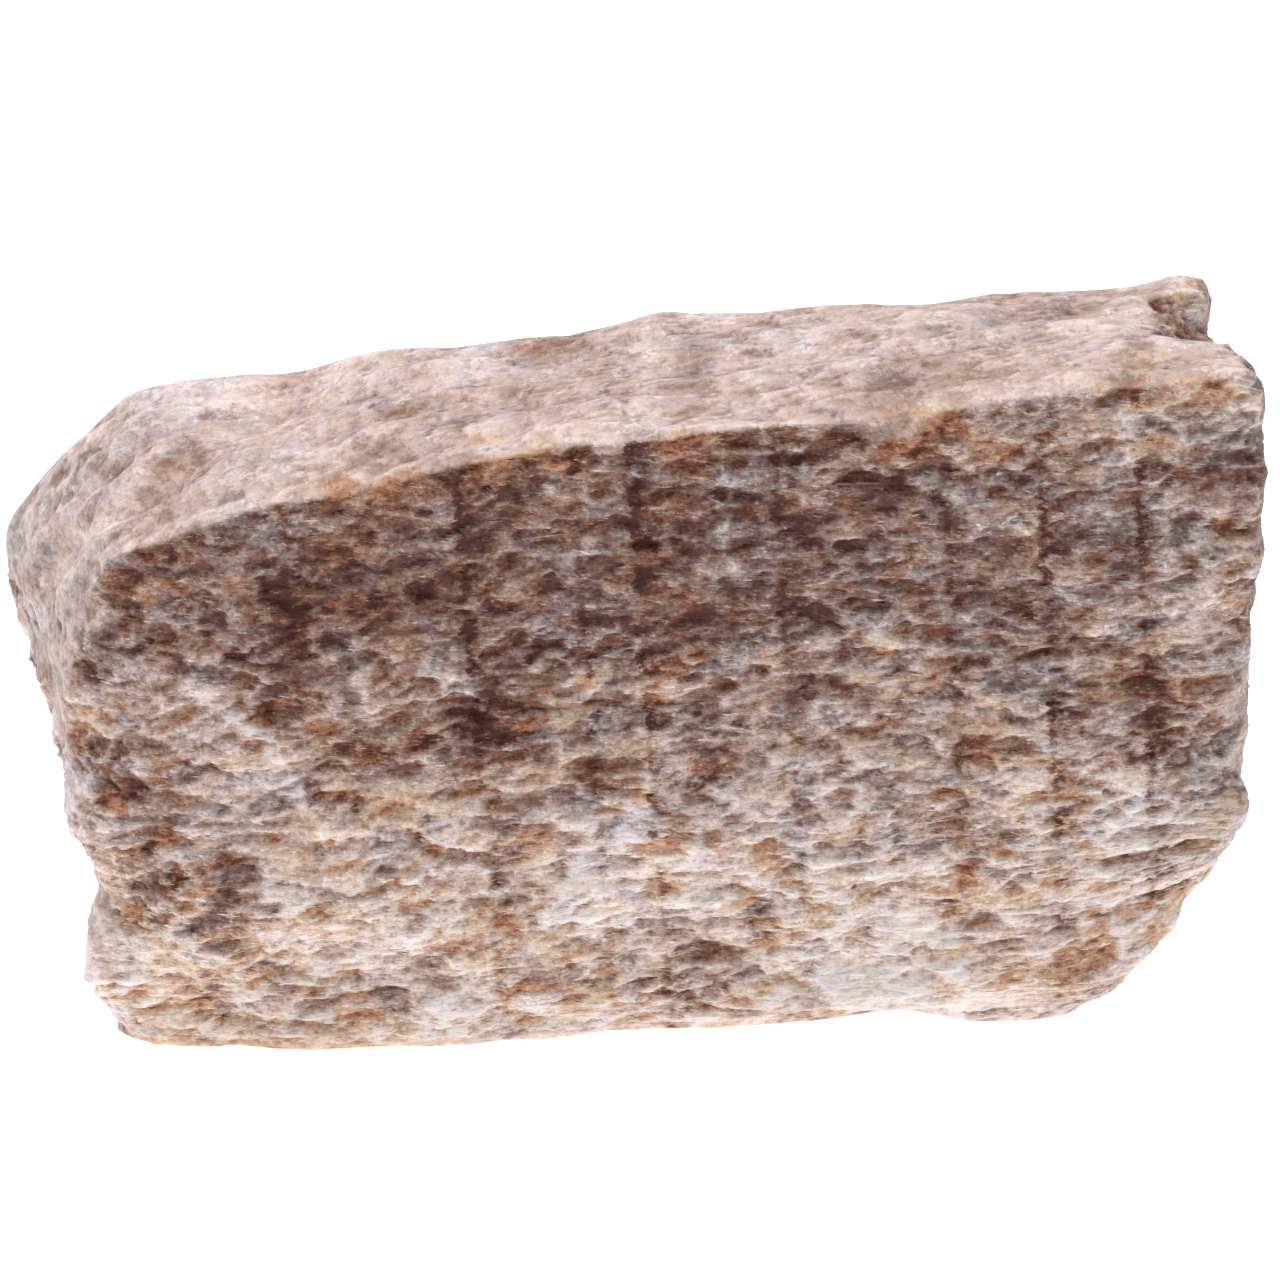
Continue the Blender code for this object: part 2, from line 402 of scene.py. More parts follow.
# Darker and paler zones of the top: place along X and in depth, reach on both, and the change.
TOP_TONES = (
    (-4.0, 4.0, 1.2, 2.5, -0.16),
    (-4.5, -4.0, 1.0, 3.0, -0.14),
    (3.4, 1.0, 0.7, 5.0, -0.16),
    (1.5, 2.0, 0.9, 3.5, 0.12),
    (-15.0, -3.5, 2.2, 2.5, 0.14),
    (-11.0, -3.0, 0.8, 1.0, -0.14),
    (12.9, -7.2, 1.0, 1.2, -0.18),
    (14.5, -8.5, 4.5, 3.0, -0.16),
    (24.5, -9.0, 6.0, 3.0, -0.12),
    (6.0, 3.0, 2.5, 2.0, -0.10),
    (-8.0, 5.0, 3.0, 3.0, 0.08),
    (-25.0, -3.0, 2.5, 4.0, 0.14),
    (12.3, 1.4, 1.0, 1.6, -0.14),
    (21.1, 2.9, 1.6, 2.0, -0.14),
    (17.9, 1.5, 1.0, 1.2, -0.12),
    (-22.5, -1.0, 2.0, 2.5, -0.10),
)

# The knob left standing at the top's far right corner, in millimetres.
KNOB = (27.5, 5.6, 34.5)

# Rusty stretches along the crest: place along X, reach, both in millimetres, and strength.
RUST = (
    (-20.5, 2.5, 0.5),
    (-11.5, 3.6, 0.65),
    (-4.4, 2.8, 1.0),
    (2.6, 1.5, 0.6),
    (13.5, 3.2, 0.45),
    (25.5, 4.5, 0.5),
)

# Millimetres below the crest where the rust starts and is full, then where it ends and is still full, how
# uneven the middle noise makes that end, and what rust changes.
RUST_ABOVE = (-0.9, -0.3)
RUST_BELOW = (1.9, 0.6)
RUST_UNEVEN = 0.8
RUST_TONE = -0.12
RUST_WARM = 0.7

# The warm foot of the front's left half: heights above the base and places along X where it starts and is
# full, in millimetres, and its warmth.
FOOT_HEIGHTS = (1.8, 0.5)
FOOT_PLACES = (-6.0, -12.0)
FOOT_WARM = 0.5

# Pale cracks across the front: reach of the paleness to each side, then places along X and above the
# base, in millimetres. Then how uneven they are, in millimetres, and what they change.
CRACKS = (
    (0.22, ((16.9, 30.2), (18.4, 29.2), (19.7, 27.6), (20.8, 26.0))),
    (0.30, ((-22.6, 21.4), (-19.6, 20.0), (-16.6, 17.9), (-14.2, 13.2))),
    (0.25, ((-12.4, 23.2), (-12.0, 20.5), (-11.2, 18.6))),
    (0.25, ((4.6, 33.0), (5.4, 30.4), (4.9, 28.0), (6.2, 25.4))),
)
CRACK_UNEVEN = 0.25
CRACK_TONE = 0.30
CRACK_WARM = -0.15

# The studio, in metres: the floor's half width, the point the lights aim at, and each light's place,
# width and depth, and colour.
FLOOR_REACH = 0.6
LIGHT_AIM = (0.0, 0.0, 0.015)
TOP_LIGHT = ((-0.08, 0.09, 0.41), (0.45, 0.35), (1.0, 0.98, 0.99))
FRONT_LIGHT = ((-0.05, -0.50, 0.22), (0.4, 0.3), (1.0, 0.98, 0.97))

# The camera: the sensor's width and the point it looks at, in millimetres.
SENSOR = 36.0
CAMERA_AIM = (1.07, 1.32, 17.8)


# ---- helpers for meshes


def smooth_step(low, high, value):
    """0 below low, 1 above high and a soft curve between."""
    part = np.clip((np.asarray(value) - low) / (high - low), 0, 1)
    return part * part * (3 - 2 * part)


def turned_reach(points):
    """How far past the turn each place lies along X, in millimetres."""
    return np.maximum(points[:, 0] - TURN_START, 0)


def climb_at(points):
    """The fibres' climb at places in millimetres."""
    turn = TURN_CLIMB * (turned_reach(points) * smooth_step(*TURN_HEIGHTS, points[:, 2]))
    return np.interp(points[:, 2], CLIMB_HEIGHTS, CLIMB_SLOPES) + turn


def grain_points(points):
    """Millimetre places as length along the fibres, layer across them, and depth, which counts for less."""
    layer = points[:, 2] - points[:, 0] * np.interp(points[:, 2], CLIMB_HEIGHTS, CLIMB_SLOPES)
    layer -= TURN_CLIMB / 2 * (turned_reach(points) ** 2 * smooth_step(*TURN_HEIGHTS, points[:, 2]))
    return np.stack([points[:, 0], layer, DEPTH_SHARE * points[:, 1]], axis=1)


def soft_field(grain, along, across, shift):
    """Smooth noise from -1 to 1 with features of the given sizes along and across the fibres."""
    scaled = grain / (along, across, across) + shift
    return np.array([noise.noise(place) for place in scaled.tolist()])


def cell_field(grain, along, across, shift):
    """For cells drawn out along the fibres: closeness to the border, and each one's chance from 0 to 1."""
    scaled = grain / (along, across, across) + shift
    border = np.empty(len(grain))
    chance = np.empty(len(grain))
    for index, place in enumerate(scaled.tolist()):
        gaps, seeds = noise.voronoi(place)
        border[index] = gaps[1] - gaps[0]
        chance[index] = noise.cell(seeds[0] * CELL_SPREAD) * 0.5 + 0.5
    return border, chance


def other_chance(chance, turn):
    """Another chance from 0 to 1 for the same cells."""
    spread = chance * CHANCE_SPREAD * turn
    return spread - np.floor(spread)


def noise_share(grain, places):
    """1 at the places that the noise picks, 0 away from them."""
    kind, values = places
    return smooth_step(*values, soft_field(grain, *kind))


def zone(points, start, full, strength):
    """The strength of a zone that starts at one height and is full at the other."""
    return strength * smooth_step(start, full, points[:, 2])


def toward(normals, side):
    """1 where the stone faces the given side, 0 where it faces away, and a soft edge between."""
    direction, start, full = side
    return smooth_step(start, full, normals @ np.array(direction))


def mesh_array(mesh, name, kind):
    """One of a mesh's vertex arrays as rows of three numbers."""
    values = np.empty(len(mesh.vertices) * 3, np.float32)
    getattr(mesh, name).foreach_get(kind, values)
    return values.reshape(-1, 3).astype(float)


def set_places(mesh, points):
    """Moves a mesh's vertices to the given places."""
    mesh.vertices.foreach_set("co", points.astype(np.float32).ravel())
    mesh.update()


def swell(mesh, points, normals, rounds):
    """How far each place stands out of its softened surroundings, in millimetres; hollows are below zero."""
    ends = np.empty(len(mesh.edges) * 2, np.int32)
    mesh.edges.foreach_get("vertices", ends)
    ends = ends.reshape(-1, 2)
    near = np.concatenate([ends[:, 0], ends[:, 1]])
    far = np.concatenate([ends[:, 1], ends[:, 0]])
    links = np.bincount(near, minlength=len(points))[:, None]
    soft = points.copy()
    for _ in range(rounds):
        total = np.stack([np.bincount(near, soft[far, axis], len(points)) for axis in range(3)], axis=1)
        soft = (soft + total / links) / 2
    return np.einsum("nd,nd->n", points - soft, normals)


def add_attribute(mesh, name, values):
    """Keeps one number for each vertex, for the material to read."""
    layer = mesh.attributes.new(name, "FLOAT", "POINT")
    layer.data.foreach_set("value", values.astype(np.float32))


def shade_smooth(mesh):
    """Rounds the shading of every face."""
    mesh.polygons.foreach_set("use_smooth", [True] * len(mesh.polygons))


# ---- the broken surface


def merged_block():
    """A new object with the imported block's shape, its loose triangles joined."""
    bm = bmesh.new()
    bm.from_mesh(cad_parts[NODE].data)
    bmesh.ops.remove_doubles(bm, verts=bm.verts, dist=1e-7)
    mesh = bpy.data.meshes.new("block_surface")
    bm.to_mesh(mesh)
    bm.free()
    block = bpy.data.objects.new("block_surface", mesh)
    bpy.context.scene.collection.objects.link(block)
    return block


def remesh_along_grain(block, cell):
    """Gives the block small even cells, drawn out along the fibres."""
    turn = Matrix.Rotation(math.atan(CLIMB_SLOPES[0]), 4, "Y")
    squeeze = Matrix.Scale(1 / CELL_DRAW, 4, Vector((1, 0, 0))) @ turn
    block.data.transform(squeeze)
    even = block.modifiers.new("even cells", "REMESH")
    even.mode = "VOXEL"
    even.voxel_size = cell
    graph = bpy.context.evaluated_depsgraph_get()
    mesh = bpy.data.meshes.new_from_object(block.evaluated_get(graph))
    block.modifiers.clear()
    block.data = mesh
    mesh.name = "block_surface"
    mesh.transform(squeeze.inverted())
    mesh.update()


def melt_facets(block, rounds):
    """Softens the flat facets, all but the base."""
    bm = bmesh.new()
    bm.from_mesh(block.data)
    free = [vert for vert in bm.verts if vert.co.z > SOFT_FROM * MM]
    for _ in range(rounds):
        bmesh.ops.smooth_vert(bm, verts=free, factor=0.5, use_axis_x=True, use_axis_y=True, use_axis_z=True)
    bm.to_mesh(block.data)
    bm.free()


def clean_break(normals):
    """1 on the cleaner break of the top, the left end and the valley between them, 0 on the rough break."""
    return toward(normals, CLEAN_BREAK)


def near_knob(points, reach):
    """1 in the middle of the knob, fading over the given reach in millimetres."""
    return np.exp(-((np.linalg.norm(points - KNOB, axis=1) / reach) ** 2))


def roughness_map(points, normals):
    """How rough each place is broken: the front and back most, the top and the ends less."""
    rough = (1 - CLEAN_CALM * clean_break(normals)) * (1 - RIGHT_CALM * toward(normals, CALM_RIGHT))
    rough *= 1 - toward(normals, CALM_BASE)
    return rough * (1 - KNOB_CALM * near_knob(points, KNOB_REACH))


def patches(points, axes, rows):
    """The sum of soft patches, each with its place on two axes, its reach on both and its strength."""
    total = np.zeros(len(points))
    for first, second, along, across, change in rows:
        away = ((points[:, axes[0]] - first) / along) ** 2 + ((points[:, axes[1]] - second) / across) ** 2
        total += change * np.exp(-away)
    return total


def zone_tone_and_painted_light(points, normals):
    """How much paler or darker each place is than the middle of the stone, painted light and shade included.
    """
    clean = clean_break(normals)
    front = toward(normals, TONED_FRONT) * (1 - clean)
    # Low down the stone is paler and carries painted bounce light, its foot a painted glow from below; high
    # up is painted shade.
    tone = zone(points, *PALE_AND_BOUNCE_LOW) + zone(points, *PAINTED_FOOT_GLOW) + zone(points, *PAINTED_SHADE_HIGH) * (1 - clean)
    tone += patches(points, FRONT_AXES, FRONT_TONES_AND_REFLECTION) * front + patches(points, TOP_AXES, TOP_TONES) * clean
    tone += clean * (CLEAN_TONE + CLEAN_RIGHT_TONE * smooth_step(*CLEAN_RIGHT, points[:, 0]))
    return tone + LEFT_TONE * toward(normals, TONED_LEFT) + KNOB_TONE * near_knob(points, KNOB_REACH)


def crest_depth(points, normals):
    """How far below the front's crest each place lies, in millimetres."""
    front = normals[:, 1] < -CREST_FACING
    column = np.round(points[:, 0]).astype(int)
    columns = np.arange(column.min(), column.max() + 1)
    crest = np.zeros(len(columns))
    np.maximum.at(crest, column[front] - columns[0], points[front, 2])
    return np.interp(points[:, 0], columns, crest) - points[:, 2]


def crack_lines(points):
    """1 on a pale crack of the front, 0 away from it."""
    lines = np.zeros(len(points))
    flat = points[:, FRONT_AXES]
    for reach, places in CRACKS:
        for start, end in zip(np.array(places[:-1]), np.array(places[1:])):
            along = end - start
            part = np.clip((flat - start) @ along / (along @ along), 0, 1)
            away = np.linalg.norm(flat - start - part[:, None] * along, axis=1)
            lines = np.maximum(lines, np.exp(-((away / reach) ** 2)))
    return lines


def rusty_crest(points, normals, middle):
    """How rusty each place is, from 0 to 1: stretches of the crest and of the front just under it."""
    below = crest_depth(points, normals)
    rust = sum(force * np.exp(-(((points[:, 0] - x) / reach) ** 2)) for x, reach, force in RUST)
    rust = np.minimum(rust, 1) * toward(normals, RUSTY_FRONT)
    return rust * smooth_step(*RUST_ABOVE, below) * smooth_step(*RUST_BELOW, below + RUST_UNEVEN * middle)


def broken_ledges(grain, drift, gap):
    """Broken layers: -0.5 at the foot of each step, 0.5 on its lip and 0 where the stone has none."""
    phase = grain[:, 1] / gap + LEDGE_DRIFT * drift
    part = phase - np.floor(phase)
    ledge = np.where(part < LIP_SHARE, part / LIP_SHARE, (1 - part) / (1 - LIP_SHARE)) - 0.5
    return ledge * noise_share(grain, LEDGE_PLACES)


def stone_pattern(points, shape):
    """The noise, the ledges, the lenses and the pits that the relief and the colours share."""
    grain = grain_points(points)
    broad = soft_field(grain, *BROAD_NOISE)
    middle = soft_field(grain, *MIDDLE_NOISE)
    small = soft_field(grain, *SMALL_NOISE)
    bent = grain + (np.outer(middle, MIDDLE_BEND) + np.outer(small, SMALL_BEND))
    sunk, chance = {}, {}
    for size, lens in LENSES.items():
        cells = (lens.length * shape.cell_length, lens.height * shape.cell_height, lens.shift)
        border, chance[size] = cell_field(bent, *cells)
        sunk[size] = smooth_step(*lens.edge, border) * smooth_step(*lens.depth, chance[size])
    pit_border, pit_chance = cell_field(grain, *PIT_CELLS)
    return SimpleNamespace(
        grain=grain,
        broad=broad,
        middle=middle,
        small=small,
        ledges=broken_ledges(grain, broad + MIDDLE_PART * middle, shape.ledge_gap),
        sunk=sunk,
        chance=chance,
        pits=smooth_step(*PIT_EDGE, pit_border) * (pit_chance > PIT_CHANCE),
    )


def relief_height(points, normals, pattern, shape):
    """Height to add at each place, in millimetres."""
    height = shape.ledge_height * pattern.ledges * (LEDGE_BASE + zone(points, *TALL_LEDGES))
    height -= shape.cell_relief * (pattern.sunk["usual"] - LEVEL_DEPTH)
    height -= FINE_RELIEF * shape.cell_relief * (pattern.sunk["fine"] - LEVEL_DEPTH)
    height += shape.fibre_relief * soft_field(pattern.grain, *FIBRE_NOISE) + SMALL_RELIEF * pattern.small
    height -= shape.pit_depth * pattern.pits
    return height * roughness_map(points, normals) * smooth_step(*RELIEF_HEIGHTS, points[:, 2])


def stone_level(points, normals, pattern):
    """How pale each place is, painted light and shade of zones and ledges included, before rust, cracks and
    the painted highlights and shade of lips, edges and rims.
    """
    clean = clean_break(normals)
    rough = 1 - clean
    contrast = 1 - CLEAN_CONTRAST * clean + zone(points, *EVEN_HIGH) + zone(points, *PATCHY_LOW) * rough
    contrast *= 1 + CONTRAST_SPREAD * soft_field(pattern.grain, *CONTRAST_NOISE) * rough
    hollows = PIT_TONE * pattern.pits - HOLLOWS_BACK
    for size, lens in LENSES.items():
        hollows += lens.darker * pattern.sunk[size]
    level = MIDDLE_LEVEL + zone_tone_and_painted_light(points, normals) + BROAD_TONE * pattern.broad
    level += contrast * (MIDDLE_TONE * pattern.middle + SMALL_TONE * pattern.small - hollows)
    # Painted highlight on the ledges' lips and painted shade at their feet.
    return level + LEDGE_LIGHT_AND_SHADE * pattern.ledges * (1 - CLEAN_LIPS * clean)


def stone_warmth(points, normals, pattern):
    """How warm each place is, before rust and cracks: ochre above zero, grey and plum below."""
    clean = clean_break(normals)
    left = toward(normals, COLD_LEFT)
    warmth = WARMTH_SPREAD * soft_field(pattern.grain, *WARMTH_NOISE)
    for size, lens in LENSES.items():
        warmth += lens.warmer * (other_chance(pattern.chance[size], lens.turn) - 0.5)
    warmth += zone(points, *WARM_LOW) * (1 - left) + zone(points, *COLD_HIGH)
    warmth = warmth * (1 - CLEAN_WARMTH * clean) + LEFT_COLD * left + CLEAN_COLD * clean
    return warmth + KNOB_WARM * near_knob(points, KNOB_WARM_REACH)


def colour_fields(points, normals, pattern, rust):
    """What the material reads at each place: level, warmth, strength of the bands, and grit."""
    clean = clean_break(normals)
    front = toward(normals, WARM_FRONT)
    foot = smooth_step(*FOOT_HEIGHTS, points[:, 2]) * smooth_step(*FOOT_PLACES, points[:, 0]) * front
    uneven = CRACK_UNEVEN * np.stack([pattern.middle, pattern.small, pattern.small], axis=1)
    cracks = crack_lines(points + uneven) * front
    level = stone_level(points, normals, pattern) + RUST_TONE * rust + CRACK_TONE * cracks
    level = np.where(level < DARK_FROM, DARK_FROM + DARK_SHARE * (level - DARK_FROM), level)
    warmth = stone_warmth(points, normals, pattern)
    warmth += RUST_WARM * rust + FOOT_WARM * foot + CRACK_WARM * cracks
    patched = patches(points, FRONT_AXES, FRONT_WARMTH) * front
    patched += patches(points, TOP_AXES, TOP_WARMTH) * clean
    warmth += patched
    bands = noise_share(pattern.grain, BAND_PLACES) * (1 - CLEAN_BANDS * clean)
    bands *= 1 - BANDS_HIGH[2] + zone(points, *BANDS_HIGH)
    return {"level": level, "warmth": warmth, "bands": bands, "grit": 1 - CLEAN_GRIT * clean}


def stands_out(mesh, points, normals, kind, least):
    """1 where the stone stands out in full, 0 where it is even, and no less than the least in hollows."""
    rounds, full = kind
    return np.clip(swell(mesh, points, normals, rounds) / full, least, 1)


def build_surface(shape):
    """The whole visible stone: the block's shape with its ledges, lenses, fibres and pits."""
    block = merged_block()
    remesh_along_grain(block, shape.cell_size)
    melt_facets(block, shape.soften)
    mesh = block.data
    points = mesh_array(mesh, "vertices", "co") / MM
    normals = mesh_array(mesh, "vertex_normals", "vector")
    pattern = stone_pattern(points, shape)
    rust = rusty_crest(points, normals, pattern.middle)
    fields = colour_fields(points, normals, pattern, rust)
    broken = points + normals * relief_height(points, normals, pattern, shape)[:, None]
    broken[:, 2] = np.maximum(broken[:, 2], 0)
    set_places(mesh, broken * MM)
    broken_normals = mesh_array(mesh, "vertex_normals", "vector")
    lips = stands_out(mesh, broken, broken_normals, LIPS, -1)
    edges = stands_out(mesh, broken, broken_normals, EDGES, -1)
    rims = stands_out(mesh, points, normals, RIMS, 0)
    rims *= noise_share(pattern.grain, RIM_PLACES)
    # Painted highlights where the stone stands out and painted shade in its hollows, kept off the rust.
    fields["level"] += shape.lip_highlight_and_shade * lips + shape.edge_highlight_and_shade * (edges + rims) * (1 - rust)
    for name, values in fields.items():
        add_attribute(mesh, name, values)
    shade_smooth(mesh)
    return block


# ---- the loose fibres


def splinter_shape():
    """One splinter, a unit long: a three-sided rod along X with pointed ends, as places and triangles."""
    bm = bmesh.new()
    bmesh.ops.create_cone(
        bm, cap_ends=True, cap_tris=True, segments=3, radius1=1.0, radius2=SPLINTER_TAPER, depth=SPLINTER_BODY
    )
    for vert in bm.verts:
        if vert.co.xy.length < 0.1:
            vert.co.z = math.copysign(0.5, vert.co.z)
    bmesh.ops.rotate(bm, verts=bm.verts, matrix=Matrix.Rotation(math.radians(90), 3, "Y"))
    bmesh.ops.triangulate(bm, faces=bm.faces)
    bmesh.ops.recalc_face_normals(bm, faces=bm.faces)
    bm.verts.ensure_lookup_table()
    places = np.array([vert.co for vert in bm.verts])
    corners = np.array([[vert.index for vert in face.verts] for face in bm.faces])
    bm.free()
    return places, corners


def surface_samples(mesh, chance, weights, count):
    """Random places on the mesh with their outward direction and fields, likelier where weights are high."""
    mesh.calc_loop_triangles()
    corners = np.empty(len(mesh.loop_triangles) * 3, np.int32)
    mesh.loop_triangles.foreach_get("vertices", corners)
    corners = corners.reshape(-1, 3)
    points = mesh_array(mesh, "vertices", "co") / MM
    normals = mesh_array(mesh, "vertex_normals", "vector")
    a, b, c = (points[corners[:, k]] for k in range(3))
    area = np.linalg.norm(np.cross(b - a, c - a), axis=1) / 2
    share = area * weights(points, normals)[corners].mean(axis=1)
    picked = chance.choice(len(corners), size=count, p=share / share.sum())
    u, v = chance.random((2, count))
    flip = u + v > 1
    u[flip], v[flip] = 1 - u[flip], 1 - v[flip]
    part = np.stack([1 - u - v, u, v], axis=1)
    chosen = corners[picked]
    place = np.einsum("nk,nkd->nd", part, points[chosen])
    facing = np.einsum("nk,nkd->nd", part, normals[chosen])
    facing /= np.linalg.norm(facing, axis=1)[:, None]
    found = {}
    for name in FIELDS:
        values = np.empty(len(points), np.float32)
        mesh.attributes[name].data.foreach_get("value", values)
        found[name] = np.einsum("nk,nk->n", part, values[chosen])
    return place, facing, found


def splinter_axes(place, facing, chance, jitter):
    """Along, across and outward directions for splinters that lie on the surface along the fibres."""
    count = len(place)
    along = np.stack([np.ones(count), np.zeros(count), climb_at(place)], axis=1)
    along += chance.normal(0, jitter, (count, 3))
    outward = np.einsum("nd,nd->n", along, facing)
    along -= (LAID_FLAT * outward)[:, None] * facing
    along += chance.normal(0, TILT, count)[:, None] * facing
    along /= np.linalg.norm(along, axis=1)[:, None]
    across = np.cross(facing, along)
    across /= np.linalg.norm(across, axis=1)[:, None]
    return along, across, np.cross(along, across)


def joined_mesh(name, points, corners):
    """Copies of one shape as one mesh: each copy's places in millimetres, and the shape's triangles."""
    count, each = points.shape[:2]
    faces = (corners[None] + each * np.arange(count)[:, None, None]).reshape(-1, 3)
    points = points.reshape(-1, 3)
    points[:, 2] = np.maximum(points[:, 2], CORNER_FROM)
    mesh = bpy.data.meshes.new(name)
    mesh.vertices.add(len(points))
    mesh.loops.add(faces.size)
    mesh.polygons.add(len(faces))
    mesh.vertices.foreach_set("co", (points * MM).astype(np.float32).ravel())
    mesh.loops.foreach_set("vertex_index", faces.ravel().astype(np.int32))
    mesh.polygons.foreach_set("loop_start", np.arange(0, faces.size, 3, dtype=np.int32))
    mesh.update(calc_edges=True)
    mesh.validate()
    mesh.shade_flat()
    return mesh


def build_fibres(name, surface, weights, count, seed, size):
    """One joined mesh of small splinters that lie half sunk in the surface, along the fibres."""
    chance = np.random.default_rng(seed)
    place, facing, fields = surface_samples(surface.data, chance, weights, count)
    along, across, outward = splinter_axes(place, facing, chance, size.stray)
    end_on = smooth_step(*END_SHORT, np.abs(facing[:, 0]))
    growth = 1 - GRIT_SIZE * (1 - fields["grit"])
    length = size.length * chance.lognormal(0, LENGTH_SPREAD, count) * (1 - END_SHORTER * end_on) * growth
    width = size.width * chance.lognormal(0, WIDTH_SPREAD, count)
    thick = size.thickness * chance.lognormal(0, THICKNESS_SPREAD, count) * growth
    splinter, corners = splinter_shape()
    shape = splinter[None] * np.stack([length, width / 2, thick], axis=1)[:, None, :]
    shape[:, :, 1] += chance.normal(0, UNEVEN, (count, len(splinter))) * (width / 2)[:, None]
    shape[:, :, 2] += chance.normal(0, UNEVEN, (count, len(splinter))) * thick[:, None]
    points = place[:, None, :] - (SUNK_SHARE * thick)[:, None, None] * facing[:, None, :]
    points = points + shape[:, :, 0:1] * along[:, None, :]
    points = points + shape[:, :, 1:2] * across[:, None, :]
    points = points + shape[:, :, 2:3] * outward[:, None, :]
    mesh = joined_mesh(name, points, corners)
    paler = chance.normal(size.paler, PALENESS_SPREAD, count)
    fields["level"] += paler * (1 - GRIT_PALENESS * (1 - fields["grit"]))
    for field, values in fields.items():
        add_attribute(mesh, field, np.repeat(values, len(splinter)))
    fibres = bpy.data.objects.new(name, mesh)
    bpy.context.scene.collection.objects.link(fibres)
    return fibres


def dress(piece):
    """Sets the piece's finish and the body it belongs to."""
    piece.data.materials.clear()
    piece.data.materials.append(bpy.data.materials[MATERIAL])
    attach(piece, "root")


# ---- the material


class Graph:
    """Short ways to lay out shader nodes."""

    def __init__(self, tree):
        self.tree = tree

    def node(self, kind, **settings):
        """A new node with the given settings."""
        made = self.tree.nodes.new(kind)
        for name, value in settings.items():
            setattr(made, name, value)
        return made

    def feed(self, sockets, values):
        """Links other nodes' outputs to the sockets, or sets plain values on them."""
        for socket, value in zip(sockets, values):
            if isinstance(value, bpy.types.NodeSocket):
                self.tree.links.new(value, socket)
            else:
                socket.default_value = value

    def math(self, operation, *values):
        """One step of arithmetic on numbers."""
        made = self.node("ShaderNodeMath", operation=operation)
        self.feed(made.inputs, values)
        return made.outputs[0]

    def add_scaled(self, value, factor, rest):
        """The value times the factor, plus the rest."""
        return self.math("MULTIPLY_ADD", value, factor, rest)

    def centred(self, value):
        """A noise from 0 to 1 as one around zero."""
        return self.math("SUBTRACT", value, 0.5)

    def vector(self, operation, *values):
        """One step of arithmetic on vectors."""
        made = self.node("ShaderNodeVectorMath", operation=operation)
        self.feed(made.inputs, values)
        return made.outputs[0]

    def attribute(self, name):
        """One of the numbers kept at the mesh's vertices."""
        return self.node("ShaderNodeAttribute", attribute_name=name).outputs["Fac"]

    def noise(self, grain, along, across, shift, detail, roughness):
        """Noise from 0 to 1 with the given size along the fibres and across them."""
        scaled = self.vector("MULTIPLY", grain, (1 / along, 1 / across, 1 / across))
        made = self.node("ShaderNodeTexNoise")
        made.inputs["Scale"].default_value = 1.0
        made.inputs["Detail"].default_value = detail
        made.inputs["Roughness"].default_value = roughness
        shifted = self.vector("ADD", scaled, (shift, shift * 1.7, shift * 0.6))
        self.tree.links.new(shifted, made.inputs["Vector"])
        return made.outputs["Fac"]

    def between(self, value, low, high, start=0.0, end=1.0, curve="SMOOTHSTEP"):
        """From start at the low value to end at the high one."""
        made = self.node("ShaderNodeMapRange", interpolation_type=curve)
        self.feed(made.inputs, (value, low, high, start, end))
        return made.outputs[0]

    def mix(self, factor, first, second):
        """From the first colour to the second."""
        made = self.node("ShaderNodeMix", data_type="RGBA")
        self.feed((made.inputs[0], made.inputs[6], made.inputs[7]), (factor, first, second))
        return made.outputs[2]

    def ramp(self, value, stops, colours):
        """The named colours at their places along the value."""
        made = self.node("ShaderNodeValToRGB")
        self.feed(made.inputs, (value,))
        elements = made.color_ramp.elements
        while len(elements) < len(stops):
            elements.new(0.5)
        for element, (place, name) in zip(elements, stops):
            element.position = place
            element.color = (*getattr(colours, name), 1.0)
        return made.outputs["Color"]


def grain_nodes(g):
    """Millimetre places along X and above the base, the layer, and the places along the grain."""
    place = g.vector("MULTIPLY", g.node("ShaderNodeTexCoord").outputs["Object"], (1 / MM, 1 / MM, 1 / MM))
    split = g.node("ShaderNodeSeparateXYZ")
    g.feed(split.inputs, (place,))
    x, y, z = split.outputs
    climb = g.between(z, *CLIMB_HEIGHTS, *CLIMB_SLOPES, curve="LINEAR")
    layer = g.math("SUBTRACT", z, g.math("MULTIPLY", x, climb))
    turned = g.math("POWER", g.math("MAXIMUM", g.math("SUBTRACT", x, TURN_START), 0.0), 2.0)
    turned = g.math("MULTIPLY", turned, g.between(z, *TURN_HEIGHTS, 0.0, TURN_CLIMB / 2))
    layer = g.math("SUBTRACT", layer, turned)
    grain = g.node("ShaderNodeCombineXYZ")
    g.feed(grain.inputs, (x, layer, g.math("MULTIPLY", y, DEPTH_SHARE)))
    return x, z, layer, grain.outputs[0]


def band_nodes(g, across):
    """Darkness of the growth bands: each starts sharply, has a dark core and fades in a tail."""
    dark = 0.0
    for place, fade, force in BANDS:
        past = g.math("SUBTRACT", across, place)
        core = g.between(past, *BAND_CORE, CORE_STRENGTH * force, 0.0)
        tail = g.between(past, BAND_TAIL, fade, TAIL_STRENGTH * force, 0.0)
        band = g.math("MULTIPLY", g.between(past, *BAND_START), g.math("ADD", core, tail))
        dark = g.math("MAXIMUM", dark, band)
    return g.math("MULTIPLY", dark, g.attribute("bands"))


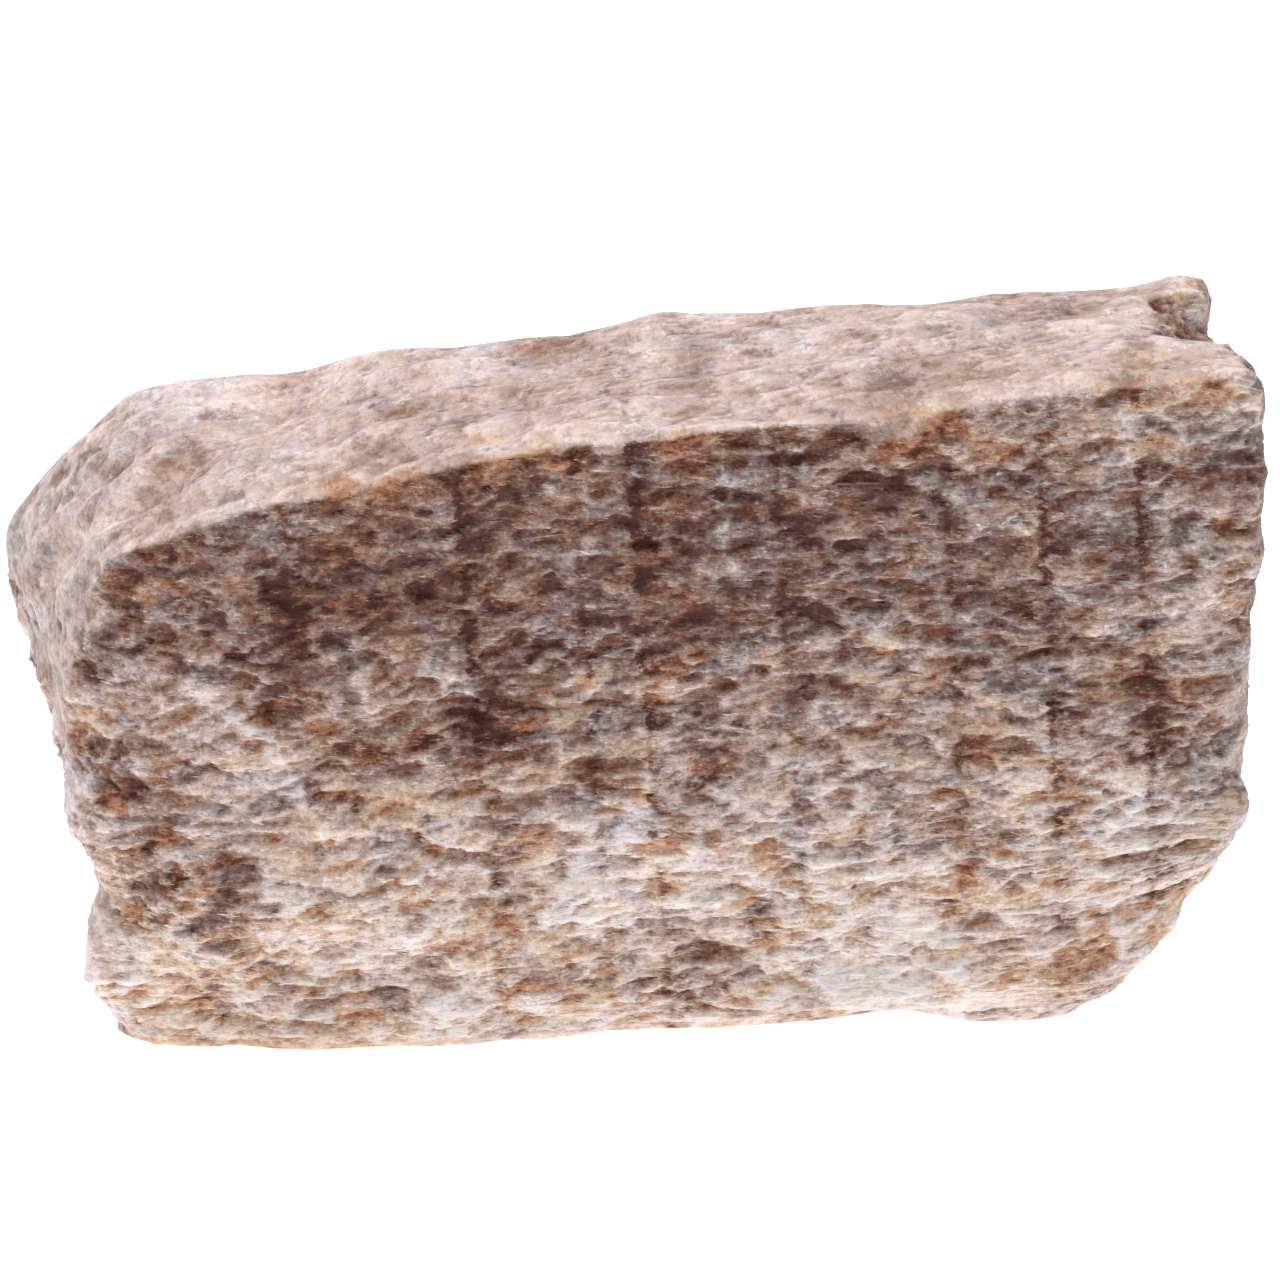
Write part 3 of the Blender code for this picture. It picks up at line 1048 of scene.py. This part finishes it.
def build_material(look):
    """Cream, beige, amber, brown and plum fibres in lens-shaped patches, crossed by dark growth bands."""
    material = bpy.data.materials.new(MATERIAL)
    material.use_nodes = True
    tree = material.node_tree
    tree.nodes.clear()
    g = Graph(tree)
    shader = g.node("ShaderNodeBsdfPrincipled")
    output = g.node("ShaderNodeOutputMaterial")
    tree.links.new(shader.outputs[0], output.inputs[0])

    x, z, layer, grain = grain_nodes(g)
    streak = g.noise(grain, *STREAK_NOISE)
    lumps = g.noise(grain, *LUMP_NOISE)
    ragged = g.noise(grain, *RAGGED_NOISE)
    grit = g.attribute("grit")

    # The fine texture: streaks, lumps, and a painted highlight on each shingle's lip with painted shade below
    # it.
    shingle = g.add_scaled(lumps, SHINGLE_SHIFT, g.math("MULTIPLY", layer, 1 / SHINGLE_GAP))
    lip = g.math("SUBTRACT", 1.0, g.math("FRACT", shingle))
    fine = g.math("MULTIPLY", g.math("MULTIPLY", g.centred(streak), look.streaks), grit)
    fine = g.add_scaled(g.centred(lumps), look.lumps, fine)
    fine = g.add_scaled(g.centred(lip), look.shingles, fine)
    level = g.add_scaled(fine, grit, g.attribute("level"))

    # The growth bands lean, and the fine texture breaks them up.
    across = g.math("ADD", g.add_scaled(z, -BAND_LEAN, x), BAND_LEAN * BAND_HEIGHT + BAND_SHIFT)
    across = g.add_scaled(lumps, BAND_LUMPS, across)
    across = g.add_scaled(streak, BAND_STREAKS, across)
    across = g.add_scaled(g.centred(ragged), BAND_RAGGED, across)
    level = g.math("SUBTRACT", level, g.math("MULTIPLY", band_nodes(g, across), look.bands))

    level = g.math("MULTIPLY", level, LEVEL_SCALE)
    plain, warm, cold = (g.ramp(level, stops, look) for stops in (PLAIN_RAMP, WARM_RAMP, COLD_RAMP))
    warmth = g.add_scaled(g.centred(streak), STREAK_WARMTH, g.attribute("warmth"))
    colour = g.mix(g.between(warmth, *WARM_RANGE), plain, warm)
    colour = g.mix(g.between(warmth, *COLD_RANGE), colour, cold)
    tree.links.new(colour, shader.inputs["Base Color"])
    tree.links.new(g.between(streak, *ROUGHNESS), shader.inputs["Roughness"])

    height = g.add_scaled(streak, look.streak_bumps, g.math("MULTIPLY", lumps, look.bumps))
    height = g.add_scaled(lip, g.math("MULTIPLY", grit, look.lip_bumps), height)
    bump = g.node("ShaderNodeBump")
    bump.inputs["Strength"].default_value = 1.0
    bump.inputs["Distance"].default_value = MM
    tree.links.new(height, bump.inputs["Height"])
    tree.links.new(bump.outputs[0], shader.inputs["Normal"])
    shader.inputs["Specular IOR Level"].default_value = 0.30
    shader.inputs["IOR"].default_value = 1.53


# ---- the studio


def build_floor(studio):
    """A wide pale floor under the block."""
    bm = bmesh.new()
    bmesh.ops.create_grid(bm, x_segments=1, y_segments=1, size=FLOOR_REACH)
    mesh = bpy.data.meshes.new("floor")
    bm.to_mesh(mesh)
    bm.free()
    floor = bpy.data.objects.new("floor", mesh)
    bpy.context.scene.collection.objects.link(floor)
    pale = bpy.data.materials.new("pale_floor")
    pale.use_nodes = True
    paint = pale.node_tree.nodes["Principled BSDF"]
    paint.inputs["Base Color"].default_value = (*studio.floor_colour, 1)
    paint.inputs["Roughness"].default_value = 0.9
    paint.inputs["Specular IOR Level"].default_value = 0.1
    paint.inputs["Emission Color"].default_value = (1, 1, 1, 1)
    paint.inputs["Emission Strength"].default_value = studio.floor_glow
    mesh.materials.append(pale)


def build_light(name, light, power):
    """A large soft light that faces the block."""
    place, (width, depth), colour = light
    lamp = bpy.data.lights.new(name, "AREA")
    lamp.shape = "RECTANGLE"
    lamp.size = width
    lamp.size_y = depth
    lamp.energy = power
    lamp.color = colour
    holder = bpy.data.objects.new(name, lamp)
    holder.location = place
    aim = Vector(LIGHT_AIM) - Vector(place)
    holder.rotation_euler = aim.to_track_quat("-Z", "Y").to_euler()
    bpy.context.scene.collection.objects.link(holder)


def build_camera(studio):
    """A camera that looks down at the block's front."""
    lens = bpy.data.cameras.new("camera")
    lens.sensor_width = SENSOR
    lens.lens = SENSOR * studio.camera_distance / studio.view_width
    lens.clip_start = 0.01
    eye = bpy.data.objects.new("camera", lens)
    tilt = studio.camera_height
    aim = Vector(CAMERA_AIM) * MM
    eye.location = aim + studio.camera_distance * Vector((0, -math.cos(tilt), math.sin(tilt)))
    eye.rotation_euler = (math.pi / 2 - tilt, 0, 0)
    bpy.context.scene.collection.objects.link(eye)
    bpy.context.scene.camera = eye


def build_stage(studio):
    """The floor, a large soft light above, a weak one in front, the surroundings and the camera."""
    build_floor(studio)
    build_light("top_softbox", TOP_LIGHT, studio.top_power)
    build_light("front_fill", FRONT_LIGHT, studio.front_power)
    scene = bpy.context.scene
    scene.world = scene.world or bpy.data.worlds.new("studio")
    scene.world.use_nodes = True
    back = scene.world.node_tree.nodes["Background"]
    back.inputs["Color"].default_value = (1, 1, 1, 1)
    back.inputs["Strength"].default_value = studio.world_strength
    scene.view_settings.view_transform = "Standard"
    scene.view_settings.look = "None"
    build_camera(studio)


# ---- settings


def millimetres(name, words, default):
    """A size in millimetres."""
    return bpy.props.FloatProperty(name=name, description=words, default=default, min=0.0)


def amount(name, words, default):
    """A plain number, such as a strength."""
    return bpy.props.FloatProperty(name=name, description=words, default=default)


def paint_choice(name, words, default):
    """A colour that a user can change."""
    return bpy.props.FloatVectorProperty(
        name=name, description=words, default=default, size=3, min=0.0, max=1.0, subtype="COLOR"
    )


class ARAGONITE_PG_shape(bpy.types.PropertyGroup):
    """Sizes of the broken surface."""

    cell_size: bpy.props.FloatProperty(
        name="Mesh cell", description="Height of the surface's mesh cells", default=0.00023, unit="LENGTH"
    )
    soften: bpy.props.IntProperty(name="Softening", description="Rounds of softening at first", default=4)
    ledge_gap: millimetres("Ledge gap", "Millimetres between one broken layer's lip and the next", 1.5)
    ledge_height: millimetres("Ledge height", "How far a lip stands out, in millimetres", 0.42)
    cell_length: millimetres("Lens length", "Length of the lens cells along the fibres, in millimetres", 1.6)
    cell_height: millimetres("Lens height", "Height of the lens cells, in millimetres", 0.92)
    cell_relief: millimetres("Lens relief", "How far lens cells bulge or sink, in millimetres", 0.26)
    fibre_relief: millimetres("Fibre relief", "Height of the fibre ridges, in millimetres", 0.07)
    pit_depth: millimetres("Pit depth", "Depth of the small pits, in millimetres", 0.35)
    # Painted highlight on small lips and painted shade in small hollows.
    lip_highlight_and_shade: amount("Pale lips", "How much paler small lips are", 0.04)
    # Painted highlight on edges and rims that stand out, and painted shade in broad hollows.
    edge_highlight_and_shade: amount("Pale edges", "How much paler worn edges are", 0.12)


class ARAGONITE_PG_fibres(bpy.types.PropertyGroup):
    """Sizes of the loose fibres."""

    count: bpy.props.IntProperty(name="Fibres", description="Fibres in each group", default=12000)
    length: millimetres("Length", "Usual length of a fibre, in millimetres", 0.48)
    width: millimetres("Width", "Usual width of a fibre, in millimetres", 0.065)
    thickness: millimetres("Thickness", "Usual thickness of a fibre, in millimetres", 0.02)
    paler: amount("Paler", "How much paler fibres are", 0.17)
    stray: amount("Stray", "How far fibres turn from the grain", 0.16)


class ARAGONITE_PG_colours(bpy.types.PropertyGroup):
    """Colours of the stone."""

    soot: paint_choice("Soot", "Darkest spots", (0.066, 0.016, 0.010))
    maroon: paint_choice("Maroon", "Dark cores", (0.145, 0.044, 0.028))
    brown: paint_choice("Brown", "Cores of the lens cells", (0.250, 0.117, 0.076))
    tan: paint_choice("Tan", "Duller fibres", (0.365, 0.250, 0.208))
    beige: paint_choice("Beige", "Most of the stone", (0.575, 0.430, 0.375))
    cream: paint_choice("Cream", "Pale fibres and ledges", (0.82, 0.69, 0.64))
    amber: paint_choice("Amber", "Warm cores", (0.392, 0.149, 0.071))
    honey: paint_choice("Honey", "Warm fibres", (0.606, 0.383, 0.255))
    straw: paint_choice("Straw", "Pale warm fibres", (0.81, 0.65, 0.52))
    chalk: paint_choice("Chalk", "Palest fibres", (0.94, 0.87, 0.845))
    plum: paint_choice("Plum", "Cold cores", (0.152, 0.058, 0.050))
    grey: paint_choice("Grey", "Cold fibres", (0.28, 0.215, 0.200))
    mist: paint_choice("Mist", "Pale cold fibres", (0.565, 0.465, 0.450))
    frost: paint_choice("Frost", "Broken fibre ends", (0.83, 0.75, 0.78))
    streaks: amount("Streaks", "Strength of the fine fibres", 0.5)
    lumps: amount("Lumps", "Strength of the fine patches", 1.2)
    # Strength of the painted highlight on the shingles' lips and the painted shade below them.
    shingles: amount("Shingles", "Strength of the fine shingles", 0.09)
    bands: amount("Bands", "Strength of the growth bands", 0.50)
    bumps: millimetres("Bumps", "Height of the fine patches, in millimetres", 0.16)
    streak_bumps: millimetres("Fibre bumps", "Height of the fine fibres, in millimetres", 0.06)
    lip_bumps: millimetres("Shingle bumps", "Height of the fine shingles, in millimetres", 0.05)


class ARAGONITE_PG_studio(bpy.types.PropertyGroup):
    """Light, floor and camera."""

    floor_colour: paint_choice("Floor", "Colour of the floor", (0.9, 0.9, 0.9))
    floor_glow: amount("Floor glow", "Light that the floor gives", 0.8)
    top_power: amount("Top light", "Watts of the light above", 2.4)
    front_power: amount("Front light", "Watts of the front light", 0.40)
    world_strength: amount("Surroundings", "Light from all round", 0.12)
    camera_distance: bpy.props.FloatProperty(
        name="Camera distance", description="From the camera to the stone", default=0.26, unit="LENGTH"
    )
    view_width: bpy.props.FloatProperty(
        name="View width", description="Width seen at the stone", default=0.0638, unit="LENGTH"
    )
    camera_height: bpy.props.FloatProperty(
        name="Camera height",
        description="Angle of the camera above level",
        default=math.radians(22),
        unit="ROTATION",
    )


# ---- operators and panel


class ARAGONITE_OT_block(bpy.types.Operator):
    """Builds the stone's material and its broken surface in place of the plain block"""

    bl_idname = "aragonite.build_block"
    bl_label = "Build the broken surface"

    def execute(self, context):
        build_material(context.scene.aragonite_colours)
        surface = build_surface(context.scene.aragonite_shape)
        dress(surface)
        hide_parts(NODE)
        return {"FINISHED"}


def front_weight(low, high):
    """Likelihood of fibres on the front between two heights, which rise to the right."""

    def weights(points, normals):
        height = points[:, 2] - points[:, 0] * FRONT_SPLIT_RISE
        inside = (height >= low) & (height < high) & (points[:, 2] > FIBRE_FROM)
        return toward(normals, FRONT_FIBRES) * inside

    return weights


def top_weight(points, normals):
    """Likelihood of fibres on the top."""
    return toward(normals, TOP_FIBRES) * toward(normals, OFF_FRONT)


def back_weight(points, normals):
    """Likelihood of fibres on the back."""
    return toward(normals, BACK_FIBRES) * (points[:, 2] > FIBRE_FROM)


def end_weight(points, normals):
    """Likelihood of fibres on the two ends."""
    return smooth_step(*END_FIBRES, np.abs(normals[:, 0])) * (points[:, 2] > FIBRE_FROM)


# Groups of loose fibres: name, where they lie, with heights in millimetres, share of the usual count, and
# seed.
FIBRE_GROUPS = (
    ("fibres_front_low", front_weight(-5.0, 12.0), 1.0, 11),
    ("fibres_front_high", front_weight(12.0, 60.0), 1.0, 12),
    ("fibres_top", top_weight, 0.7, 13),
    ("fibres_back", back_weight, 1.0, 14),
    ("fibres_ends", end_weight, 0.7, 15),
)


class ARAGONITE_OT_fibres(bpy.types.Operator):
    """Lays small broken fibres over the surface, one joined mesh for each side"""

    bl_idname = "aragonite.build_fibres"
    bl_label = "Build the loose fibres"

    def execute(self, context):
        size = context.scene.aragonite_fibres
        surface = bpy.data.objects["block_surface"]
        for name, weights, share, seed in FIBRE_GROUPS:
            dress(build_fibres(name, surface, weights, int(size.count * share), seed, size))
        return {"FINISHED"}


class ARAGONITE_OT_stage(bpy.types.Operator):
    """Sets up the floor, the lights and the camera"""

    bl_idname = "aragonite.build_stage"
    bl_label = "Build the studio"

    def execute(self, context):
        build_stage(context.scene.aragonite_studio)
        return {"FINISHED"}


class ARAGONITE_PT_sidebar(bpy.types.Panel):
    """Lists the steps and their settings"""

    bl_label = "Aragonite block"
    bl_idname = "ARAGONITE_PT_sidebar"
    bl_space_type = "VIEW_3D"
    bl_region_type = "UI"
    bl_category = "Aragonite"

    def draw(self, context):
        for step, settings in STEPS:
            box = self.layout.box()
            box.operator(step.bl_idname)
            group = getattr(context.scene, settings)
            for name in group.__annotations__:
                box.prop(group, name)


STEPS = (
    (ARAGONITE_OT_block, "aragonite_shape"),
    (ARAGONITE_OT_fibres, "aragonite_fibres"),
    (ARAGONITE_OT_stage, "aragonite_studio"),
)
SETTINGS = {
    "aragonite_shape": ARAGONITE_PG_shape,
    "aragonite_fibres": ARAGONITE_PG_fibres,
    "aragonite_colours": ARAGONITE_PG_colours,
    "aragonite_studio": ARAGONITE_PG_studio,
}
CLASSES = (*SETTINGS.values(), *(step for step, _ in STEPS), ARAGONITE_PT_sidebar)


def register():
    for kind in CLASSES:
        bpy.utils.register_class(kind)
    for name, kind in SETTINGS.items():
        setattr(bpy.types.Scene, name, bpy.props.PointerProperty(type=kind))


def unregister():
    for name in SETTINGS:
        delattr(bpy.types.Scene, name)
    for kind in reversed(CLASSES):
        bpy.utils.unregister_class(kind)


def main():
    """Builds every piece in order."""
    register()
    bpy.ops.aragonite.build_stage()
    bpy.ops.aragonite.build_block()
    bpy.ops.aragonite.build_fibres()


if __name__ == "__main__":
    main()
